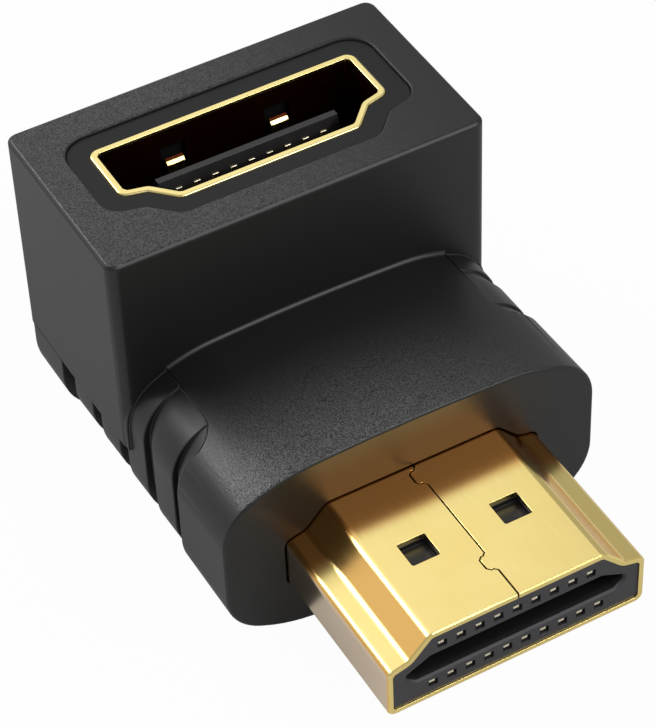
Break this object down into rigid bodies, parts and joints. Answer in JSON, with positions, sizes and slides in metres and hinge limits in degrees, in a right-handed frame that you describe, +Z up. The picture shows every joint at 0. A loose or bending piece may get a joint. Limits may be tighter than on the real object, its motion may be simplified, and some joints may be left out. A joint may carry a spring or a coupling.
{
  "type": "right-angle video connector adapter",
  "caption": "Right-angle adapter with a flat gold-plated video plug at the front and the matching socket on top of a moulded black body with ribbed flanks.",
  "frame": {"origin": "middle of the footprint, on the surface that the adapter stands on", "axes": "+X across the width, -Y the way the plug points, +Z up, the way the socket opens"},
  "size_m": [0.0206, 0.0308, 0.0171],
  "materials": {
    "housing_black": "fine matt grain",
    "collar_black": "smooth matt",
    "board_green": "solder-resist satin",
    "gold_plate": "polished gold plating",
    "insulator_black": "satin",
    "contact_gold": "polished gold plating"
  },
  "bodies": {
    "root": {"outer_housing": "housing_black", "inner_mould": "collar_black", "circuit_board": "board_green", "plug_shell": "gold_plate", "plug_insulator": "insulator_black", "socket_shell": "gold_plate", "socket_insulator": "insulator_black", "plug_contact_01": "contact_gold", "plug_contact_02": "contact_gold", "plug_contact_03": "contact_gold", "plug_contact_04": "contact_gold", "plug_contact_05": "contact_gold", "plug_contact_06": "contact_gold", "plug_contact_07": "contact_gold", "plug_contact_08": "contact_gold", "plug_contact_09": "contact_gold", "plug_contact_10": "contact_gold", "plug_contact_11": "contact_gold", "plug_contact_12": "contact_gold", "plug_contact_13": "contact_gold", "plug_contact_14": "contact_gold", "plug_contact_15": "contact_gold", "plug_contact_16": "contact_gold", "plug_contact_17": "contact_gold", "plug_contact_18": "contact_gold", "plug_contact_19": "contact_gold", "socket_contact_01": "contact_gold", "socket_contact_02": "contact_gold", "socket_contact_03": "contact_gold", "socket_contact_04": "contact_gold", "socket_contact_05": "contact_gold", "socket_contact_06": "contact_gold", "socket_contact_07": "contact_gold", "socket_contact_08": "contact_gold", "socket_contact_09": "contact_gold", "socket_contact_10": "contact_gold", "socket_contact_11": "contact_gold", "socket_contact_12": "contact_gold", "socket_contact_13": "contact_gold", "socket_contact_14": "contact_gold", "socket_contact_15": "contact_gold", "socket_contact_16": "contact_gold", "socket_contact_17": "contact_gold", "socket_contact_18": "contact_gold", "socket_contact_19": "contact_gold"}
  },
  "joints": []
}
